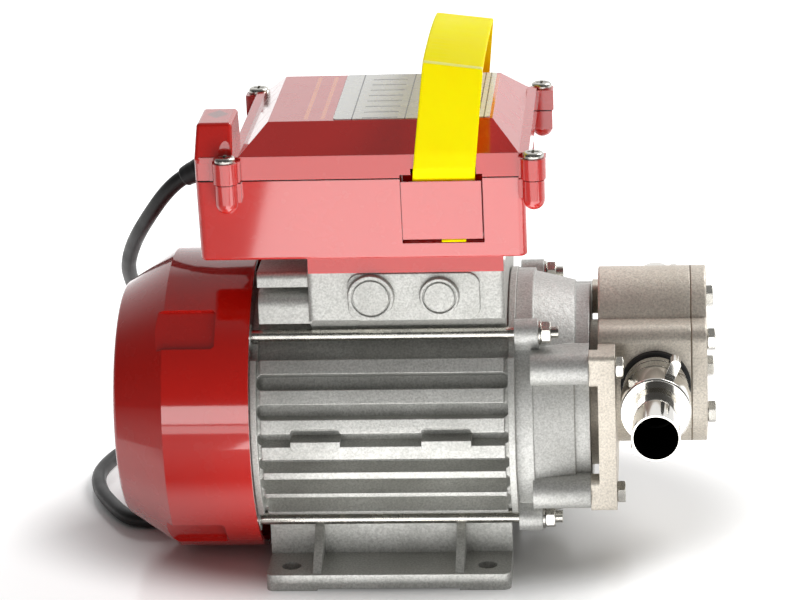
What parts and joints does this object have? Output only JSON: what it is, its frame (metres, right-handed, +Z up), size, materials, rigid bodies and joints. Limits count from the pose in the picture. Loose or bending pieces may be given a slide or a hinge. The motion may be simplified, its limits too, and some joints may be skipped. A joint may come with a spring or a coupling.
{
  "type": "electric gear pump",
  "caption": "Foot-mounted electric motor with red terminal box, carry strap, fan cover and mains lead, driving a flanged gear pump with two side hose tails.",
  "frame": {"origin": "centre of the four foot holes, on the plane that the feet stand on", "axes": "+Z up, +X along the motor shaft from the fan to the pump, -Y towards the side with the inlet hose tail"},
  "size_m": [0.274, 0.262, 0.2189],
  "materials": {
    "housing_metal": "cast aluminium, bright bead-blasted",
    "shield_metal": "cast aluminium, satin",
    "steel": "zinc plated steel",
    "dark_steel": "oiled steel",
    "laminations": "electrical steel stack",
    "copper": "varnished copper windings",
    "red_plastic": "glossy red",
    "black_plastic": "black",
    "white_plastic": "off-white",
    "grey_plastic": "grey",
    "yellow_strap": "flexible yellow plastic band",
    "plate_film": "white plate",
    "pump_steel": "cast stainless steel, blasted and polished",
    "polished": "polished",
    "bronze": "bronze",
    "seal_rubber": "black",
    "gasket_paper": "fibre gasket",
    "cord_rubber": "black sheath"
  },
  "bodies": {
    "motor": {"box_base": "red_plastic", "box_gasket": "seal_rubber", "box_lid": "red_plastic", "capacitor": "white_plastic", "carry_strap": "yellow_strap", "cord_coil": "cord_rubber", "cord_gland": "black_plastic", "cover_bolts": "steel", "cover_gasket": "gasket_paper", "fan_cover": "red_plastic", "front_bearing_outer": "dark_steel", "front_shield": "shield_metal", "idler_shaft": "dark_steel", "inlet_hose_tail": "polished", "inlet_nipple": "polished", "lid_screws": "steel", "motor_housing": "housing_metal", "outlet_hose_tail": "polished", "outlet_nipple": "polished", "plug_body": "black_plastic", "plug_pins": "polished", "port_seals": "seal_rubber", "power_cord": "cord_rubber", "pump_body": "pump_steel", "pump_bolts": "steel", "pump_cover": "pump_steel", "rating_plate": "plate_film", "rear_bearing_outer": "dark_steel", "rear_shield": "shield_metal", "shaft_bush": "bronze", "shaft_seal": "seal_rubber", "stator_core": "laminations", "stator_windings": "copper", "strap_clip_front": "red_plastic", "strap_clip_rear": "red_plastic", "switch_body": "black_plastic", "terminal_block": "grey_plastic", "tie_rod_nuts": "steel", "tie_rod_washers": "steel", "tie_rods": "steel", "union_gaskets": "seal_rubber", "wave_washer": "dark_steel"},
    "rotor": {"motor_shaft": "dark_steel", "rotor_core": "laminations", "rotor_cage": "shield_metal", "cooling_fan": "black_plastic", "fan_clip": "dark_steel", "gear_key": "dark_steel", "drive_gear": "bronze", "front_bearing_inner": "dark_steel", "rear_bearing_inner": "dark_steel"},
    "front_ball_set": {"front_bearing_balls": "dark_steel"},
    "rear_ball_set": {"rear_bearing_balls": "dark_steel"},
    "idler": {"driven_gear": "bronze", "idler_bush": "bronze"},
    "inlet_nut": {"inlet_union_nut": "polished"},
    "outlet_nut": {"outlet_union_nut": "polished"},
    "rocker": {"switch_rocker": "black_plastic"}
  },
  "joints": [
    {"name": "rotor_spin", "type": "hinge", "parent": "motor", "child": "rotor", "pos_m": [0, 0, 0.063], "axis": [1, 0, 0], "continuous": true},
    {"name": "front_ball_spin", "type": "hinge", "parent": "motor", "child": "front_ball_set", "pos_m": [0.069, 0, 0.063], "axis": [1, 0, 0], "continuous": true},
    {"name": "rear_ball_spin", "type": "hinge", "parent": "motor", "child": "rear_ball_set", "pos_m": [-0.063, 0, 0.063], "axis": [1, 0, 0], "continuous": true},
    {"name": "idler_spin", "type": "hinge", "parent": "motor", "child": "idler", "pos_m": [0.11, 0, 0.096], "axis": [1, 0, 0], "continuous": true},
    {"name": "inlet_nut_turn", "type": "hinge", "parent": "motor", "child": "inlet_nut", "pos_m": [0.109, -0.06, 0.0785], "axis": [0, -1, 0], "continuous": true},
    {"name": "outlet_nut_turn", "type": "hinge", "parent": "motor", "child": "outlet_nut", "pos_m": [0.109, 0.06, 0.0785], "axis": [0, 1, 0], "continuous": true},
    {"name": "switch_rock", "type": "hinge", "parent": "motor", "child": "rocker", "pos_m": [-0.0542, -0.0068, 0.1555], "axis": [0, 0, 1], "range_deg": [-11, 11]}
  ],
  "couplings": [
    {"joint": "front_ball_spin", "follows": "rotor_spin", "ratio": 0.3545},
    {"joint": "rear_ball_spin", "follows": "rotor_spin", "ratio": 0.3545},
    {"joint": "idler_spin", "follows": "rotor_spin", "ratio": -1}
  ]
}
